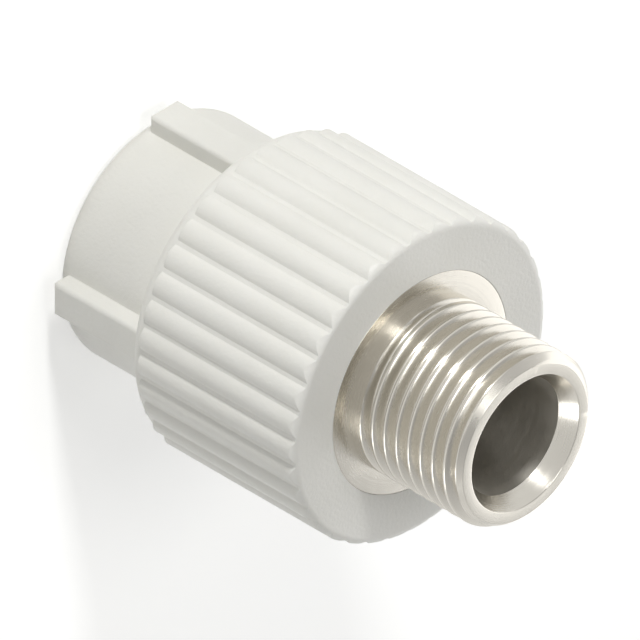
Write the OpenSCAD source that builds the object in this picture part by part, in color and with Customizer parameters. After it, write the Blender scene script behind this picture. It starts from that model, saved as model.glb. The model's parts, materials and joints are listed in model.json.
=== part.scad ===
// Transition fitting: a plastic body with a pipe socket at one end, and a metal insert
// with a male pipe thread moulded into its other end.
// The fitting stands on the socket's end face with the thread pointing up.
// The origin is the centre of that end face, and +Z is the fitting's axis.

/* [Pipe socket] */
// Outer diameter of the socket
socket_d = 29.5; // [27:0.5:31]
// Length of the socket from its end face to the collar
socket_len = 15.5; // [13:0.5:20]
// Rounding of the socket's outer edge at the mouth
mouth_round = 2; // [0.5:0.25:3]
// Diameter of the bore that the pipe is welded into
pipe_bore_d = 19.2; // [18:0.1:20.5]
// Depth of that bore, from the end face to the pipe stop
pipe_bore_depth = 14.5; // [12:0.5:18]
// Lead-in chamfer of the bore
lead_in = 0.5; // [0.2:0.1:1]

/* [Waterway] */
// Diameter of the passage through the body and the insert
waterway_d = 14; // [10:0.5:15]

/* [Grip ribs] */
// Number of ribs along the socket
rib_count = 4; // [2:1:8]
// Width of a rib
rib_w = 4.3; // [2:0.1:6]
// Height of a rib above the socket
rib_h = 2; // [1:0.1:2.5]
// Distance from the end face to where a rib starts
rib_start = 1.7; // [1:0.1:6]
// Rounding of a rib's outer edges
rib_round = 0.5; // [0.2:0.1:0.9]

/* [Collar] */
// Diameter of the collar at the floor of its grooves
collar_d = 37.5; // [36:0.5:42]
// Length of the collar
collar_len = 25; // [22:0.5:32]
// Rounding of the collar's edge at the socket
collar_back_round = 1; // [0.4:0.1:1.4]
// Rounding of the collar's edge at the thread
collar_front_round = 1; // [0.6:0.1:2]

/* [Collar ridges] */
// Number of ridges round the collar
ridge_count = 36; // [24:1:40]
// Height of a ridge's crest above the groove floor
ridge_h = 0.5; // [0.3:0.05:0.8]
// Radius of a ridge's round back
ridge_r = 2; // [1.6:0.1:2.6]
// Distance from the collar's back face to where a ridge starts
ridge_start = 1.5; // [1.4:0.1:4]

/* [Thread] */
// Outer diameter of the male thread
thread_d = 20.955; // [20:0.005:23]
// Length of the thread from the collar's front face to the end
thread_len = 16; // [12:0.5:22]
// Distance from one turn of the thread to the next
thread_pitch = 1.814; // [1.6:0.001:2]
// Distance from the collar's front face to the middle of the groove's first turn
thread_start = 1.3; // [1:0.1:3]
// Chamfer at the thread's end
thread_chamfer = 1; // [0.4:0.1:1.2]
// Diameter of the countersink in the end face
countersink_d = 16.3; // [15.5:0.1:17.5]
// Depth of the countersink
countersink_depth = 2; // [1:0.1:4]

/* [Insert anchor] */
// Diameter of the flange that shows in the collar's front face
flange_d = 26.4; // [24:0.2:30]
// Thickness of the flange
flange_t = 3; // [1.5:0.1:5]
// Diameter of the neck behind the flange
neck_d = 22.4; // [20:0.2:23.5]
// Length of the neck
neck_len = 2.5; // [1.5:0.1:3.5]
// Diameter of the notched ring that keeps the insert from turning
anchor_d = 26; // [25:0.2:28]
// Length of the notched ring
anchor_len = 4; // [2:0.1:5]
// Number of notches in the ring
notch_count = 12; // [6:1:18]
// Radius of a notch
notch_r = 1.2; // [0.8:0.1:1.5]
// Diameter of the groove that the plastic grips behind the ring
groove_d = 20; // [18:0.2:22]
// Length of that groove
groove_len = 2.5; // [1.5:0.1:3.5]
// Diameter of the lip at the insert's inner end
lip_d = 23; // [22.4:0.2:26]
// Length of the lip
lip_len = 2; // [1:0.1:3]

/* [Hidden] */
$fn = 96;

// How far a cutting shape runs past the surface that it cuts
past = 1;
// Gap between the front rounding's widest circle and the ridge crests
crest_gap = 0.005;
// Angle between the thread's flanks, and its depth as a share of the pitch
thread_angle = 55;
thread_depth_share = 0.640327;
// Steps of the thread's groove in one turn, and the turns over which it runs out
turn_steps = 40;
runout_turns = 0.5;
// How far the groove's cutting shape reaches outside the thread
groove_past = 0.12;

socket_r = socket_d / 2;
collar_r = collar_d / 2;
crest_r = collar_r + ridge_h;
rib_top_r = socket_r + rib_h;
bore_r = waterway_d / 2;

thread_r = thread_d / 2;
thread_depth = thread_depth_share * thread_pitch;
flank_slope = tan(thread_angle / 2);
root_half_w = (thread_pitch / 2 - thread_depth * flank_slope) / 2;
groove_half_w = root_half_w + (thread_depth + groove_past) * flank_slope;

// Heights along the axis, from the socket's end face upwards
collar_z = socket_len;
face_z = collar_z + collar_len;
end_z = face_z + thread_len;
flange_z = face_z - flange_t;
neck_z = flange_z - neck_len;
anchor_z = neck_z - anchor_len;
groove_z = anchor_z - groove_len;
insert_z = groove_z - lip_len;

// Outline of the insert's anchor, from its inner end to a height on its flange
function anchor_outline(inner_r, top_z) = [
    [inner_r, insert_z],
    [lip_d / 2, insert_z],
    [lip_d / 2, groove_z],
    [groove_d / 2, groove_z],
    [groove_d / 2, anchor_z],
    [anchor_d / 2, anchor_z],
    [anchor_d / 2, neck_z],
    [neck_d / 2, neck_z],
    [neck_d / 2, flange_z],
    [flange_d / 2, flange_z],
    [flange_d / 2, top_z]
];

// Outline of the insert from its flange's face over the thread to its bore
thread_outline = [
    [thread_r, face_z],
    [thread_r, end_z - thread_chamfer],
    [thread_r - thread_chamfer, end_z],
    [countersink_d / 2, end_z],
    [bore_r, end_z - countersink_depth]
];

// The waste outside a rounding whose centre is the origin, towards +X and +Y
module round_waste(r) {
    difference() {
        square(r + past);
        circle(r = r);
    }
}

// A disc or sleeve blank: a half section from the axis to radius r, up to height h
module blank_section(r, h) {
    square([r, h]);
}

// The socket as a solid blank, with its outer edge rounded at the mouth
module socket_blank() {
    rotate_extrude()
        difference() {
            blank_section(socket_r, collar_z + collar_len / 2);
            translate([socket_r - mouth_round, mouth_round])
                mirror([0, 1])
                    round_waste(mouth_round);
        }
}

// One rib along +X, from the axis outwards, with its outer and back edges rounded
module rib() {
    length = collar_z + past - rib_start;
    half_w = rib_w / 2;
    intersection() {
        // Cross-section, rounded at the two long outer edges
        translate([0, 0, rib_start])
            linear_extrude(length)
                difference() {
                    translate([0, -half_w])
                        square([rib_top_r, rib_w]);
                    for (side = [0, 1])
                        mirror([0, side])
                            translate([rib_top_r - rib_round, half_w - rib_round])
                                round_waste(rib_round);
                }
        // Side view, rounded where the top meets the back end
        rotate([90, 0, 0])
            linear_extrude(rib_w + 2 * past, center = true)
                difference() {
                    translate([-past, rib_start])
                        square([rib_top_r + 2 * past, length + past]);
                    translate([rib_top_r - rib_round, rib_start + rib_round])
                        mirror([0, 1])
                            round_waste(rib_round);
                }
        // Plan view, rounded where the sides meet the back end
        rotate([90, 0, 90])
            translate([0, 0, -past])
                linear_extrude(rib_top_r + 2 * past)
                    difference() {
                        translate([-half_w - past, rib_start - past])
                            square([rib_w + 2 * past, length + 2 * past]);
                        for (side = [0, 1])
                            mirror([side, 0])
                                translate([half_w - rib_round, rib_start + rib_round])
                                    mirror([0, 1])
                                        round_waste(rib_round);
                    }
    }
}

// The collar's core up to the groove floors, rounded at its back edge
module collar_core() {
    rotate_extrude()
        difference() {
            translate([0, collar_z])
                square([collar_r, collar_len + past]);
            translate([collar_r - collar_back_round, collar_z + collar_back_round])
                mirror([0, 1])
                    round_waste(collar_back_round);
        }
}

// The round-backed ridges, with flat back ends
module ridges() {
    for (i = [0 : ridge_count - 1])
        rotate([0, 0, i * 360 / ridge_count])
            translate([crest_r - ridge_r, 0, collar_z + ridge_start])
                cylinder(r = ridge_r, h = collar_len - ridge_start + past);
}

// The shape that the collar's front edge is rounded to
module front_form() {
    form_r = crest_r + crest_gap;
    rotate_extrude()
        difference() {
            blank_section(form_r, face_z);
            translate([form_r - collar_front_round, face_z - collar_front_round])
                round_waste(collar_front_round);
        }
}

module collar() {
    intersection() {
        union() {
            collar_core();
            ridges();
        }
        front_form();
    }
}

// The insert's anchor, turned from an outline and notched round its ring
module notched(outline) {
    difference() {
        rotate_extrude()
            polygon(outline);
        for (i = [0 : notch_count - 1])
            rotate([0, 0, (i + 0.5) * 360 / notch_count])
                translate([anchor_d / 2, 0, anchor_z - groove_len / 2])
                    cylinder(r = notch_r, h = anchor_len + (groove_len + neck_len) / 2);
    }
}

// Corners of the groove's section after some turns, drawn outwards where the groove runs out
function groove_corners(turns) =
    let (
        drawn_out = (thread_depth + groove_past) * max(0, 1 - turns / runout_turns),
        root_r = thread_r - thread_depth + drawn_out,
        outer_r = thread_r + groove_past + drawn_out,
        z = face_z + thread_start + turns * thread_pitch,
        corners = [
            [root_r, -root_half_w],
            [outer_r, -groove_half_w],
            [outer_r, groove_half_w],
            [root_r, root_half_w]
        ]
    )
    [for (c = corners) [c[0] * cos(turns * 360), c[0] * sin(turns * 360), z + c[1]]];

// The thread's groove, a right-hand helix from the collar out past the end face
module thread_groove() {
    steps = ceil((thread_len / thread_pitch + 1) * turn_steps);
    points = [for (i = [0 : steps]) each groove_corners(i / turn_steps)];
    sides = [
        for (i = [0 : steps - 1], side = [0 : 3])
            let (
                a = 4 * i + side,
                b = 4 * i + (side + 1) % 4
            )
            each [[a, b, a + 4], [b, b + 4, a + 4]]
    ];
    last = 4 * steps;
    ends = [[0, 3, 2, 1], [last, last + 1, last + 2, last + 3]];
    polyhedron(points, concat(sides, ends));
}

module fitting_body() {
    color("white")
        difference() {
            union() {
                socket_blank();
                for (i = [0 : rib_count - 1])
                    rotate([0, 0, i * 360 / rib_count])
                        rib();
                collar();
            }
            // Pipe bore with its lead-in
            translate([0, 0, -past])
                cylinder(d = pipe_bore_d, h = pipe_bore_depth + past);
            translate([0, 0, -past])
                cylinder(
                    d1 = pipe_bore_d + 2 * (lead_in + past),
                    d2 = pipe_bore_d,
                    h = lead_in + past
                );
            // Waterway from the pipe stop to the insert
            translate([0, 0, pipe_bore_depth - past])
                cylinder(r = bore_r, h = insert_z - pipe_bore_depth + 2 * past);
            // Seat that the insert fills
            notched(concat(anchor_outline(0, face_z + past), [[0, face_z + past]]));
        }
}

module threaded_insert() {
    color("silver")
        difference() {
            notched(concat(anchor_outline(bore_r, face_z), thread_outline));
            thread_groove();
        }
}

fitting_body();
threaded_insert();
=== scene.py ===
"""Dresses a plastic pipe fitting with a male threaded metal insert, and sets its stage.

The fitting stands on its socket's end face at the origin, with its axis along +Z and the thread on top.
Everything is in metres.
"""

import json
from math import ceil, cos, hypot, pi, radians, sin, sqrt, tan

import bmesh
import bpy
from bpy.props import FloatProperty, FloatVectorProperty, IntProperty, PointerProperty
from mathutils import Matrix, Vector


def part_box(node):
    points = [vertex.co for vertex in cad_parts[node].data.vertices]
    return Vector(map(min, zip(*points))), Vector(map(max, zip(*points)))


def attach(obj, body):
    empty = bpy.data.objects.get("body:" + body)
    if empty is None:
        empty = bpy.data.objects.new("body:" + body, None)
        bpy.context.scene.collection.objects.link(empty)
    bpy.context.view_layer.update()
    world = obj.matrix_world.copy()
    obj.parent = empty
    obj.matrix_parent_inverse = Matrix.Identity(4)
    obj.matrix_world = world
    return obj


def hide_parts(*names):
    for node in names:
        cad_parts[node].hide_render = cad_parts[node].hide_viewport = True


bl_info = {
    "name": "Transition Fitting",
    "version": (1, 0, 0),
    "blender": (4, 5, 0),
    "location": "View3D > Sidebar > Fitting",
    "description": "Finishes a moulded pipe fitting, cuts its insert's thread and sets the stage",
    "category": "Object",
}

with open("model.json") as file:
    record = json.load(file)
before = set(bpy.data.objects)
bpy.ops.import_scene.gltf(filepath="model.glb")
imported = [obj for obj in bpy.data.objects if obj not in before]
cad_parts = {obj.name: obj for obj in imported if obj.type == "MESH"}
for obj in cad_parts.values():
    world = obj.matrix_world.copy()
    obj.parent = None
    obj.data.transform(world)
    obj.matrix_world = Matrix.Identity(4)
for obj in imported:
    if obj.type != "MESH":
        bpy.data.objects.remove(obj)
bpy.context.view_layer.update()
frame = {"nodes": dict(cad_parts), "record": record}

MM = 0.001

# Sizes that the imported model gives
MOUNTS = {mount["name"]: mount for mount in frame["record"]["mounts"]}
THREAD_R = MOUNTS["male_thread"]["dims"]["r_mm"] * MM
FLANGE_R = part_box("threaded_insert")[1].x
INSERT_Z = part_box("threaded_insert")[0].z
END_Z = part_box("threaded_insert")[1].z
FACE_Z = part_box("fitting_body")[1].z

# Points in one turn round the fitting's axis
COLUMNS = 192
# Points closer together than this become one
MERGED = 0.002 * MM
# Faces that meet at a larger angle than this get a sharp edge
SHARP_ANGLE = radians(22)
# How far outside the bore's radius a face may reach and still be the bore's wall
BORE_MARGIN = 0.01 * MM

# The photograph's frame, and where the centre of the socket's end face lies in it
IMAGE_PX = 640
MM_PER_PX = 0.107
ORIGIN_PX = (152.2, 228.0)
CAMERA_DISTANCE = 0.5

# Directions in the fitting's frame that point right and up in the photograph, and at its camera
RIGHT = Vector((1, 0, 1)).normalized()
UP = Vector((1, 2, -1)).normalized()
TO_CAMERA = Vector((-1, 1, 1)).normalized()

# Each lamp's direction from the fitting, in the photograph's right, up and towards the camera, and
# the side of its square. The back lamp and the far side lamp light what the camera doesn't see, and
# the edges next to it.
LAMPS = (
    {"name": "key_lamp", "direction": (0.05, 0.62, 0.78), "size": 0.06, "watts": 1.35},
    {"name": "front_lamp", "direction": (0.62, -0.12, 0.77), "size": 0.2, "watts": 0.55},
    {"name": "low_lamp", "direction": (-0.35, -0.90, 0.25), "size": 0.2, "watts": 0.4},
    {"name": "back_lamp", "direction": (0.85, 0.05, -0.40), "size": 0.5, "watts": 0.65},
    {"name": "far_side_lamp", "direction": (0.64, -0.37, -0.68), "size": 0.2, "watts": 0.3},
)
LAMP_DISTANCE = 0.5

# Side of the floor, large enough that the camera sees no edge of it
FLOOR_SIZE = 6.0
# Light that the floor sends to the camera and to reflections beside what its paint returns
FLOOR_LIFT = 0.45
# Strength of the light that the surroundings give
AMBIENT = 0.22
# How bright the camera and reflections see the backdrop and the ceiling
BACKDROP = 1.0
CEILING = 0.45
# Height of a unit direction where the backdrop starts to darken, and where it is all ceiling
BACKDROP_TOP = 0.3
CEILING_START = 0.95


def linear(hex_colour):
    """The linear colour, with alpha, of an sRGB hex value such as 'F2F0EA'."""
    channels = [int(hex_colour[i:i + 2], 16) / 255 for i in (0, 2, 4)]
    curve = [c / 12.92 if c <= 0.04045 else ((c + 0.055) / 1.055) ** 2.4 for c in channels]
    return (*curve, 1.0)


def length(name, description, size_mm):
    """A length property whose default is given in millimetres."""
    return FloatProperty(name=name, description=description, default=size_mm * MM, unit="LENGTH", precision=5)


def colour(name, description, hex_colour):
    """A colour property whose default is given as an sRGB hex value."""
    return FloatVectorProperty(
        name=name, description=description, default=linear(hex_colour), subtype="COLOR", size=4, min=0, max=1
    )


class InsertSizes(bpy.types.PropertyGroup):
    """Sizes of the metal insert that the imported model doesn't give."""

    pitch: length("Thread pitch", "Distance from one turn of the thread to the next", 1.814)
    flank_angle: FloatProperty(
        name="Flank angle",
        description="Angle between the thread's two flanks",
        default=radians(55),
        subtype="ANGLE",
    )
    thread_start: length("Thread start", "Distance from the collar's face to the groove's first turn", 1.3)
    chamfer: length("End chamfer", "Chamfer at the thread's end", 1.0)
    countersink_d: length("Countersink diameter", "Diameter of the countersink in the end face", 16.3)
    countersink_depth: length("Countersink depth", "Depth of the countersink", 2.0)
    bore_d: length("Bore diameter", "Diameter of the waterway through the insert", 14.0)
    edge_break: length("Edge break", "Radius left on the turned edges", 0.12)
    flange_t: length("Flange thickness", "Thickness of the flange in the collar's face", 3.0)
    neck_d: length("Neck diameter", "Diameter of the neck behind the flange", 22.4)
    neck_len: length("Neck length", "Length of the neck", 2.5)
    anchor_d: length("Anchor diameter", "Diameter of the notched ring", 26.0)
    anchor_len: length("Anchor length", "Length of the notched ring", 4.0)
    notch_r: length("Notch radius", "Radius of a notch in the ring", 1.2)
    notch_count: IntProperty(name="Notches", description="Number of notches in the ring", default=12, min=3)
    groove_d: length("Groove diameter", "Diameter of the groove behind the ring", 20.0)
    groove_len: length("Groove length", "Length of the groove behind the ring", 2.5)
    lip_d: length("Lip diameter", "Diameter of the lip at the inner end", 23.0)


class FittingColours(bpy.types.PropertyGroup):
    """Colours of the fitting's materials and its stage."""

    plastic: colour("Plastic", "The moulded body", "ECEBE6")
    plastic_shade: colour("Plastic shade", "Where the plastic flowed last in the mould", "E3E2DB")
    nickel: colour("Nickel", "The plating on the insert", "CFCBC2")
    floor: colour("Floor", "The floor that the fitting stands on", "EDEDEB")


def add_node(tree, kind, inputs=None, **settings):
    """Adds one node with its settings, and sets or links its inputs."""
    node = tree.nodes.new(kind)
    for name, value in settings.items():
        setattr(node, name, value)
    for socket, value in (inputs or {}).items():
        if isinstance(value, bpy.types.NodeSocket):
            tree.links.new(value, node.inputs[socket])
        else:
            node.inputs[socket].default_value = value
    return node


def new_material(name):
    """An empty node material, and its node tree."""
    material = bpy.data.materials.new(name)
    material.use_nodes = True
    material.node_tree.nodes.clear()
    return material, material.node_tree


def per_metre(size_mm):
    """The texture scale at which one feature is about that many millimetres."""
    return 1 / (size_mm * MM)


def seen_by_eye(tree, plain, seen):
    """A strength that is 'seen' for camera, glossy and transmission rays, and 'plain' for others."""
    path = add_node(tree, "ShaderNodeLightPath").outputs
    first = add_node(
        tree, "ShaderNodeMath", {0: path["Is Camera Ray"], 1: path["Is Glossy Ray"]}, operation="MAXIMUM"
    ).outputs["Value"]
    looked_at = add_node(
        tree, "ShaderNodeMath", {0: first, 1: path["Is Transmission Ray"]}, operation="MAXIMUM"
    ).outputs["Value"]
    return add_node(
        tree, "ShaderNodeMapRange", {"Value": looked_at, "To Min": plain, "To Max": seen}
    ).outputs["Result"]


def white_moulded_polypropylene(colours):
    # Polypropylene random copolymer, injection moulded in a finely eroded steel tool. It is milky
    # and lets a little light in, has a satin gloss, and shows faint clouds where it flowed.
    cloud_mm = 11
    sheen_patch_mm = 4
    # The edges of the mould leave a radius of about 0.1 mm
    edge_radius = 0.1 * MM
    # The eroded grain is about 0.05 mm, and is drawn at 0.45 mm so that it shows
    grain_mm = 0.45
    grain_height = 0.06 * MM
    # How far the light gets into the milky plastic
    light_depth = 0.6 * MM
    material, tree = new_material("white_moulded_polypropylene")
    place = add_node(tree, "ShaderNodeTexCoord").outputs["Object"]
    clouds = add_node(
        tree, "ShaderNodeTexNoise", {"Vector": place, "Scale": per_metre(cloud_mm), "Detail": 2.0}
    ).outputs["Fac"]
    tint = add_node(
        tree, "ShaderNodeMix",
        {0: clouds, 6: tuple(colours.plastic), 7: tuple(colours.plastic_shade)},
        data_type="RGBA",
    ).outputs[2]
    sheen_patches = add_node(
        tree, "ShaderNodeTexNoise", {"Vector": place, "Scale": per_metre(sheen_patch_mm), "Detail": 3.0}
    ).outputs["Fac"]
    gloss = add_node(
        tree, "ShaderNodeMapRange",
        {"Value": sheen_patches, "From Min": 0.3, "From Max": 0.7, "To Min": 0.34, "To Max": 0.46},
    ).outputs["Result"]
    edges = add_node(tree, "ShaderNodeBevel", {"Radius": edge_radius}, samples=6).outputs["Normal"]
    grain = add_node(
        tree, "ShaderNodeTexNoise", {"Vector": place, "Scale": per_metre(grain_mm), "Detail": 3.0}
    ).outputs["Fac"]
    bump = add_node(
        tree, "ShaderNodeBump", {"Height": grain, "Strength": 0.8, "Distance": grain_height, "Normal": edges}
    ).outputs["Normal"]
    shader = add_node(
        tree, "ShaderNodeBsdfPrincipled",
        {
            "Base Color": tint,
            "Roughness": gloss,
            "Normal": bump,
            "IOR": 1.49,
            "Subsurface Weight": 0.12,
            "Subsurface Radius": (1.0, 0.95, 0.85),
            "Subsurface Scale": light_depth,
        },
    )
    add_node(tree, "ShaderNodeOutputMaterial", {"Surface": shader.outputs["BSDF"]})
    return material


def nickel_plated_brass(name, colours, feed_mm, ring_height_mm, smoothest, roughest):
    """Brass plated with bright nickel, whose cutting tool left rings round the axis."""
    patch_mm = 3
    # Radius plus part of the height changes along the insert's flat faces, cones and cylinders alike,
    # so the rings lie on all of them. With the whole height, the 45 degree end chamfer would have none.
    height_share = 0.7
    # How much the rings count beside the patches in the polish
    ring_share = 0.6
    material, tree = new_material(name)
    place = add_node(tree, "ShaderNodeTexCoord").outputs["Object"]
    split = add_node(tree, "ShaderNodeSeparateXYZ", {"Vector": place}).outputs
    flat = add_node(tree, "ShaderNodeCombineXYZ", {"X": split["X"], "Y": split["Y"]}).outputs["Vector"]
    radius = add_node(tree, "ShaderNodeVectorMath", {0: flat}, operation="LENGTH").outputs["Value"]
    along = add_node(
        tree, "ShaderNodeMath", {0: split["Z"], 1: height_share, 2: radius}, operation="MULTIPLY_ADD"
    ).outputs["Value"]
    rings = add_node(
        tree, "ShaderNodeTexNoise",
        {"W": along, "Scale": per_metre(feed_mm), "Detail": 2.0},
        noise_dimensions="1D",
    ).outputs["Fac"]
    patches = add_node(
        tree, "ShaderNodeTexNoise", {"Vector": place, "Scale": per_metre(patch_mm), "Detail": 3.0}
    ).outputs["Fac"]
    mixed = add_node(
        tree, "ShaderNodeMath", {0: rings, 1: ring_share, 2: patches}, operation="MULTIPLY_ADD"
    ).outputs["Value"]
    polish = add_node(
        tree, "ShaderNodeMapRange",
        {"Value": mixed, "From Min": 0.5, "From Max": 1.1, "To Min": smoothest, "To Max": roughest},
    ).outputs["Result"]
    bump = add_node(
        tree, "ShaderNodeBump", {"Height": rings, "Strength": 0.35, "Distance": ring_height_mm * MM}
    ).outputs["Normal"]
    # The rings spread a highlight across themselves, into a fan on the flat faces
    round_axis = add_node(tree, "ShaderNodeTangent", direction_type="RADIAL", axis="Z").outputs["Tangent"]
    shader = add_node(
        tree, "ShaderNodeBsdfPrincipled",
        {
            "Base Color": tuple(colours.nickel),
            "Metallic": 1.0,
            "Roughness": polish,
            "Normal": bump,
            "Tangent": round_axis,
            "Anisotropic": 0.45,
            "Anisotropic Rotation": 0.25,
        },
    )
    add_node(tree, "ShaderNodeOutputMaterial", {"Surface": shader.outputs["BSDF"]})
    return material


def nickel_plated_turned_brass(colours):
    # The outside is turned on a lathe and comes out bright, a warm silver with fine rings that
    # the plating doesn't hide. The feed is about 0.08 mm a turn. So that it shows, it is drawn at
    # 0.25 mm on flat faces and 0.36 mm on cylinders.
    return nickel_plated_brass(
        "nickel_plated_turned_brass", colours,
        feed_mm=0.25, ring_height_mm=0.006, smoothest=0.17, roughest=0.30,
    )


def nickel_plated_drilled_brass(colours):
    # The bore is only drilled, so it is duller than the outside and its rings are coarser. They
    # are about 0.15 mm apart, drawn at 0.57 mm on the bore's wall so that they show.
    return nickel_plated_brass(
        "nickel_plated_drilled_brass", colours,
        feed_mm=0.4, ring_height_mm=0.012, smoothest=0.42, roughest=0.56,
    )


def pale_painted_floor(colours):
    # A matt painted floor. The camera and reflections see it lifted to the white of the
    # background, and the fitting's shadow stays on it.
    stipple_mm = 0.8
    stipple_height = 0.01 * MM
    material, tree = new_material("pale_painted_floor")
    place = add_node(tree, "ShaderNodeTexCoord").outputs["Object"]
    stipple = add_node(
        tree, "ShaderNodeTexNoise", {"Vector": place, "Scale": per_metre(stipple_mm), "Detail": 2.0}
    ).outputs["Fac"]
    bump = add_node(
        tree, "ShaderNodeBump", {"Height": stipple, "Strength": 0.15, "Distance": stipple_height}
    ).outputs["Normal"]
    paint = add_node(
        tree, "ShaderNodeBsdfDiffuse", {"Color": tuple(colours.floor), "Roughness": 0.6, "Normal": bump}
    )
    lift = add_node(
        tree, "ShaderNodeEmission", {"Color": (1, 1, 1, 1), "Strength": seen_by_eye(tree, 0.0, FLOOR_LIFT)}
    )
    both = add_node(tree, "ShaderNodeAddShader", {0: paint.outputs["BSDF"], 1: lift.outputs["Emission"]})
    add_node(tree, "ShaderNodeOutputMaterial", {"Surface": both.outputs["Shader"]})
    return material


def turned_row(place):
    """One closed row of points round the axis. Place gives the radius and height at a share of the turn."""
    points = []
    for column in range(COLUMNS + 1):
        share = column / COLUMNS
        r, z = place(share)
        points.append((r * cos(2 * pi * share), r * sin(2 * pi * share), z))
    return points


def ring(r, z):
    """A plain round row of points."""
    return turned_row(lambda share: (r, z))


def broken_corner(before, corner, after, radius, steps=5):
    """A corner of an outline in the (r, z) half plane, rounded to a small radius."""
    c = Vector(corner)
    to_before, to_after = (Vector(before) - c).normalized(), (Vector(after) - c).normalized()
    half = to_before.angle(to_after) / 2
    reach = radius / tan(half)
    centre = c + (to_before + to_after).normalized() * (radius / sin(half))
    first = (c + to_before * reach - centre).normalized()
    last = (c + to_after * reach - centre).normalized()
    return [tuple(centre + first.slerp(last, i / steps) * radius) for i in range(steps + 1)]


class Thread:
    """A right-hand pipe thread with rounded crests and roots, cut into a chamfered cylinder."""

    # Depth of the thread and radius of its rounded crests and roots, as shares of the pitch
    DEPTH_SHARE = 0.640327
    ROUNDING_SHARE = 0.137329
    # Rows of points on each rounding and on each flank
    ARC_STEPS = 4
    FLANK_STEPS = 4
    # Turns over which the groove runs out at the collar
    RUNOUT_TURNS = 0.5

    def __init__(self, sizes):
        self.pitch = sizes.pitch
        self.first_z = FACE_Z + sizes.thread_start
        self.chamfer_z = END_Z - sizes.chamfer
        end_r = THREAD_R - sizes.chamfer
        self.rim = broken_corner((THREAD_R, self.chamfer_z), (end_r, END_Z), (0, END_Z), sizes.edge_break)
        self.depth = self.DEPTH_SHARE * self.pitch
        self.rounding = self.ROUNDING_SHARE * self.pitch
        self.turned = pi / 2 - sizes.flank_angle / 2
        self.arc_w = self.rounding * sin(self.turned)
        self.arc_h = self.rounding * (1 - cos(self.turned))

    def height_in_groove(self, off):
        """Height above the groove's root at a distance along the axis from its middle."""
        off = min(abs(off), self.pitch / 2)
        crest_off = self.pitch / 2 - off
        if off < self.arc_w:
            return self.rounding - sqrt(self.rounding ** 2 - off ** 2)
        if crest_off < self.arc_w:
            return self.depth - self.rounding + sqrt(self.rounding ** 2 - crest_off ** 2)
        return self.arc_h + (off - self.arc_w) * tan(self.turned)

    def groove_radius(self, z, share):
        """How far out the groove leaves the metal at a height and a share of the turn from +X."""
        turns = (z - self.first_z) / self.pitch - share
        groove = round(turns)
        drawn_out = self.depth * max(0.0, 1 - (groove + share) / self.RUNOUT_TURNS)
        return THREAD_R - self.depth + drawn_out + self.height_in_groove((turns - groove) * self.pitch)

    def offsets(self):
        """Distances from one groove's middle to the next at which the thread has a row of points."""
        arc = [self.rounding * sin(self.turned * i / self.ARC_STEPS) for i in range(self.ARC_STEPS + 1)]
        flank_w = self.pitch / 2 - 2 * self.arc_w
        flank = [self.arc_w + flank_w * i / self.FLANK_STEPS for i in range(1, self.FLANK_STEPS)]
        half = arc + flank + [self.pitch / 2 - off for off in reversed(arc)]
        return half[:-1] + [self.pitch - off for off in reversed(half[1:])]

    def helix_row(self, climb):
        """A row that climbs one pitch in its turn, between the collar's face and the end's rounded rim."""
        def place(share):
            z = self.first_z + climb + share * self.pitch
            z = min(max(z, FACE_Z), self.rim[0][1])
            blank_r = THREAD_R - max(0.0, z - self.chamfer_z)
            return min(blank_r, self.groove_radius(z, share)), z

        return turned_row(place)

    def rim_row(self, r, z):
        """A level row on the end's rounded rim, which the groove still cuts into."""
        return turned_row(lambda share: (min(r, self.groove_radius(z, share)), z))

    def rows(self):
        """Rows of points from the collar's face to the end face."""
        first = -ceil((self.first_z - FACE_Z) / self.pitch) - 1
        last = ceil((END_Z - self.first_z) / self.pitch)
        climbs = [turn * self.pitch + off for turn in range(first, last + 1) for off in self.offsets()]
        return [self.helix_row(climb) for climb in climbs] + [self.rim_row(r, z) for r, z in self.rim]


def check_sizes(sizes):
    """Stops where the sizes leave the insert no metal or no room for one of its forms."""
    bore_r = sizes.bore_d / 2
    anchored = sizes.flange_t + sizes.neck_len + sizes.anchor_len + sizes.groove_len
    room = {
        "wall under the thread": THREAD_R - Thread.DEPTH_SHARE * sizes.pitch - bore_r,
        "wall under the anchor's groove": sizes.groove_d / 2 - bore_r,
        "slope on the countersink": sizes.countersink_d / 2 - bore_r,
        "end face": THREAD_R - sizes.chamfer - sizes.countersink_d / 2 - 2 * sizes.edge_break,
        "lip at the inner end": FACE_Z - INSERT_Z - anchored,
        "ring between the notches": pi * sizes.anchor_d / sizes.notch_count - 2 * sizes.notch_r,
    }
    for form, size in room.items():
        if size <= 0:
            raise ValueError(f"The insert's sizes leave no {form}")


def notched_ring(sizes, z):
    """A row round the anchor's ring, cut in by its round notches."""
    step = 2 * pi / sizes.notch_count
    ring_r = sizes.anchor_d / 2

    def place(share):
        off = (share * sizes.notch_count) % 1 * step - step / 2
        side = ring_r * sin(off)
        if abs(side) >= sizes.notch_r:
            return ring_r, z
        return min(ring_r, ring_r * cos(off) - sqrt(sizes.notch_r ** 2 - side ** 2)), z

    return turned_row(place)


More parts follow.
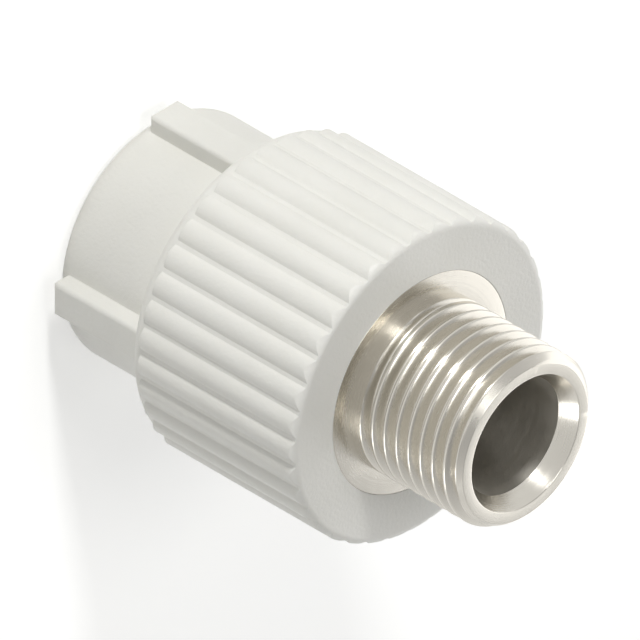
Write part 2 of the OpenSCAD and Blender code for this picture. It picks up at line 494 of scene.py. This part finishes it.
def insert_rows(sizes):
    """All rows of the insert, from the bore's inner end round the outside to the bore's mouth and back."""
    bore_r = sizes.bore_d / 2
    flange_z = FACE_Z - sizes.flange_t
    neck_z = flange_z - sizes.neck_len
    anchor_z = neck_z - sizes.anchor_len
    groove_z = anchor_z - sizes.groove_len
    flange_edge = broken_corner(
        (FLANGE_R, flange_z), (FLANGE_R, FACE_Z), (THREAD_R, FACE_Z), sizes.edge_break
    )
    bore_edge = (bore_r, END_Z - sizes.countersink_depth)
    mouth = broken_corner(
        (THREAD_R, END_Z), (sizes.countersink_d / 2, END_Z), bore_edge, sizes.edge_break
    )
    return [
        ring(bore_r, INSERT_Z),
        ring(sizes.lip_d / 2, INSERT_Z),
        ring(sizes.lip_d / 2, groove_z),
        ring(sizes.groove_d / 2, groove_z),
        ring(sizes.groove_d / 2, anchor_z),
        notched_ring(sizes, anchor_z),
        notched_ring(sizes, neck_z),
        ring(sizes.neck_d / 2, neck_z),
        ring(sizes.neck_d / 2, flange_z),
        ring(FLANGE_R, flange_z),
        *[ring(r, z) for r, z in flange_edge],
        *Thread(sizes).rows(),
        *[ring(r, z) for r, z in mouth],
        ring(*bore_edge),
        ring(bore_r, INSERT_Z),
    ]


def mesh_of_rows(name, rows, is_bore):
    """A mesh whose rows of points are joined into a closed skin, smooth but for its sharp edges."""
    mesh = bpy.data.meshes.new(name)
    build = bmesh.new()
    made = [[build.verts.new(p) for p in row] for row in rows]
    for lower, upper in zip(made, made[1:]):
        for j in range(COLUMNS):
            build.faces.new((lower[j], lower[j + 1], upper[j + 1], upper[j]))
    bmesh.ops.remove_doubles(build, verts=build.verts, dist=MERGED)
    bmesh.ops.dissolve_degenerate(build, edges=build.edges, dist=MERGED)
    bmesh.ops.recalc_face_normals(build, faces=build.faces)
    for face in build.faces:
        face.material_index = int(is_bore(face))
    build.to_mesh(mesh)
    build.free()
    mesh.shade_smooth()
    mesh.set_sharp_from_angle(angle=SHARP_ANGLE)
    return mesh


def add_object(name, data):
    """A new object in the scene."""
    made = bpy.data.objects.new(name, data)
    bpy.context.scene.collection.objects.link(made)
    return made


def lay_floor(colours):
    """Lays a large square floor under the fitting."""
    half = FLOOR_SIZE / 2
    corners = [(-half, -half, 0), (half, -half, 0), (half, half, 0), (-half, half, 0)]
    mesh = bpy.data.meshes.new("floor")
    mesh.from_pydata(corners, [], [(0, 1, 2, 3)])
    mesh.materials.append(pale_painted_floor(colours))
    add_object("floor", mesh)


def set_surroundings(scene):
    """Sets the room's own light, and what the camera and reflections see of the room."""
    world = bpy.data.worlds.new("studio")
    world.use_nodes = True
    tree = world.node_tree
    tree.nodes.clear()
    # The backdrop is white all round, and the room darkens from its top to the zenith, which gives
    # the bright metal its contrast
    way = add_node(tree, "ShaderNodeTexCoord").outputs["Generated"]
    height = add_node(tree, "ShaderNodeSeparateXYZ", {"Vector": way}).outputs["Z"]
    room = add_node(
        tree, "ShaderNodeMapRange",
        {
            "Value": height,
            "From Min": BACKDROP_TOP, "From Max": CEILING_START,
            "To Min": BACKDROP, "To Max": CEILING,
        },
    ).outputs["Result"]
    light = add_node(
        tree, "ShaderNodeBackground", {"Color": (1, 1, 1, 1), "Strength": seen_by_eye(tree, AMBIENT, room)}
    )
    add_node(tree, "ShaderNodeOutputWorld", {"Surface": light.outputs["Background"]})
    scene.world = world


def hang_lamp(name, direction, size, watts):
    """Hangs a square lamp that faces the fitting's middle."""
    data = bpy.data.lights.new(name, "AREA")
    data.shape = "SQUARE"
    data.size = size
    data.energy = watts
    lamp = add_object(name, data)
    middle = Vector((0, 0, END_Z / 2))
    way = (RIGHT * direction[0] + UP * direction[1] + TO_CAMERA * direction[2]).normalized()
    lamp.location = middle + way * LAMP_DISTANCE
    lamp.rotation_mode = "QUATERNION"
    lamp.rotation_quaternion = way.to_track_quat("Z", "Y")


def set_camera(scene):
    """Sets the photograph's camera, which looks along an isometric direction without perspective."""
    data = bpy.data.cameras.new("camera")
    data.type = "ORTHO"
    data.ortho_scale = IMAGE_PX * MM_PER_PX * MM
    camera = add_object("camera", data)
    # How far the photograph's middle lies to the right of the fitting's origin, and below it
    right_of_origin = (IMAGE_PX / 2 - ORIGIN_PX[0]) * MM_PER_PX * MM
    below_origin = (IMAGE_PX / 2 - ORIGIN_PX[1]) * MM_PER_PX * MM
    camera.location = RIGHT * right_of_origin - UP * below_origin + TO_CAMERA * CAMERA_DISTANCE
    camera.rotation_mode = "QUATERNION"
    camera.rotation_quaternion = Matrix((RIGHT, UP, TO_CAMERA)).transposed().to_quaternion()
    scene.camera = camera


class FITTING_OT_finish_body(bpy.types.Operator):
    """Gives the moulded body its plastic."""

    bl_idname = "fitting.finish_body"
    bl_label = "Finish the body"

    def execute(self, context):
        slots = frame["nodes"]["fitting_body"].material_slots
        if not slots:
            raise RuntimeError("The moulded body has no material slot")
        plastic = white_moulded_polypropylene(context.scene.fitting_colours)
        for slot in slots:
            slot.material = plastic
        return {"FINISHED"}


class FITTING_OT_cut_insert(bpy.types.Operator):
    """Turns the metal insert, and cuts its thread."""

    bl_idname = "fitting.cut_insert"
    bl_label = "Cut the insert"

    def execute(self, context):
        sizes, colours = context.scene.fitting_sizes, context.scene.fitting_colours
        check_sizes(sizes)

        def is_bore(face):
            return all(hypot(v.co.x, v.co.y) < sizes.bore_d / 2 + BORE_MARGIN for v in face.verts)

        mesh = mesh_of_rows("insert_with_thread", insert_rows(sizes), is_bore)
        mesh.materials.append(nickel_plated_turned_brass(colours))
        mesh.materials.append(nickel_plated_drilled_brass(colours))
        insert = add_object("insert_with_thread", mesh)
        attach(insert, "root")
        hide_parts("threaded_insert")
        return {"FINISHED"}


class FITTING_OT_set_stage(bpy.types.Operator):
    """Lays the floor, and sets the lamps, the surroundings and the camera."""

    bl_idname = "fitting.set_stage"
    bl_label = "Set the stage"

    def execute(self, context):
        lay_floor(context.scene.fitting_colours)
        set_surroundings(context.scene)
        for lamp in LAMPS:
            hang_lamp(**lamp)
        set_camera(context.scene)
        context.scene.view_settings.view_transform = "Standard"
        return {"FINISHED"}


class FITTING_PT_panel(bpy.types.Panel):
    """Lists the fitting's steps, sizes and colours."""

    bl_label = "Transition Fitting"
    bl_idname = "FITTING_PT_panel"
    bl_space_type = "VIEW_3D"
    bl_region_type = "UI"
    bl_category = "Fitting"

    def draw(self, context):
        for operator in OPERATORS:
            self.layout.operator(operator.bl_idname)
        for group in (context.scene.fitting_sizes, context.scene.fitting_colours):
            box = self.layout.box()
            for name in group.__annotations__:
                box.prop(group, name)


OPERATORS = (FITTING_OT_finish_body, FITTING_OT_cut_insert, FITTING_OT_set_stage)
CLASSES = (InsertSizes, FittingColours, *OPERATORS, FITTING_PT_panel)


def register():
    for cls in CLASSES:
        bpy.utils.register_class(cls)
    bpy.types.Scene.fitting_sizes = PointerProperty(type=InsertSizes)
    bpy.types.Scene.fitting_colours = PointerProperty(type=FittingColours)


def unregister():
    del bpy.types.Scene.fitting_colours
    del bpy.types.Scene.fitting_sizes
    for cls in reversed(CLASSES):
        bpy.utils.unregister_class(cls)


def main():
    register()
    bpy.ops.fitting.finish_body()
    bpy.ops.fitting.cut_insert()
    bpy.ops.fitting.set_stage()


if __name__ == "__main__":
    main()
